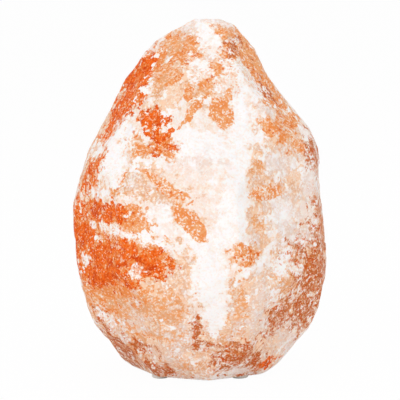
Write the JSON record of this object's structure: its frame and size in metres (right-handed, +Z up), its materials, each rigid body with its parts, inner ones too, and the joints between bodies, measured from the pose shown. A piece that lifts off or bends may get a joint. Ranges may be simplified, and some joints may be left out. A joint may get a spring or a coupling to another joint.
{
  "type": "salt crystal lamp",
  "caption": "Hewn rock salt block with a drilled cavity that holds a clip-in lamp holder and a small pear-shaped bulb.",
  "frame": {"origin": "on the table, on the vertical axis of the drilled cavity, which is also the middle of the block", "axes": "+Z up along the cavity's axis; -Y the front seen in the picture; the cord's groove leaves at the back, +Y"},
  "size_m": [0.1486, 0.133, 0.207],
  "materials": {
    "rock_salt": "hewn, powdery, translucent",
    "rubber": "moulded, milky white, matt",
    "plated_steel": "zinc plated",
    "spring_steel": "bright strip",
    "holder_plastic": "moulded, fine satin",
    "steatite": "unglazed",
    "brass": "bright",
    "solder": "dull solder",
    "black_glass": "polished",
    "nickel_brass": "nickel plated",
    "clear_glass": "clear",
    "nickel_wire": "drawn wire",
    "tungsten": "fine coil"
  },
  "bodies": {
    "lamp_holder": {"cord_nipple": "plated_steel", "lock_nut": "plated_steel", "clip_washer": "plated_steel", "spring_clip": "spring_steel", "holder_cap": "holder_plastic", "holder_shell": "holder_plastic", "holder_core": "steatite", "screw_socket": "brass", "centre_contact": "brass", "terminals": "brass", "terminal_screws": "plated_steel"},
    "crystal": {"salt_crystal": "rock_salt", "foot_pads": "rubber"},
    "bulb": {"bulb_contact": "solder", "bulb_insulator": "black_glass", "bulb_cap": "nickel_brass", "bulb_glass": "clear_glass", "bulb_stem": "clear_glass", "bulb_leads": "nickel_wire", "filament_supports": "nickel_wire", "filament": "tungsten"}
  },
  "joints": [
    {"name": "crystal_lift", "type": "slide", "parent": "lamp_holder", "child": "crystal", "axis": [0, 0, 1], "range_m": [0, 0.11]},
    {"name": "bulb_unscrew", "type": "hinge", "parent": "lamp_holder", "child": "bulb", "pos_m": [0, 0, 0.05], "axis": [0, 0, 1], "range_deg": [0, 900]}
  ]
}
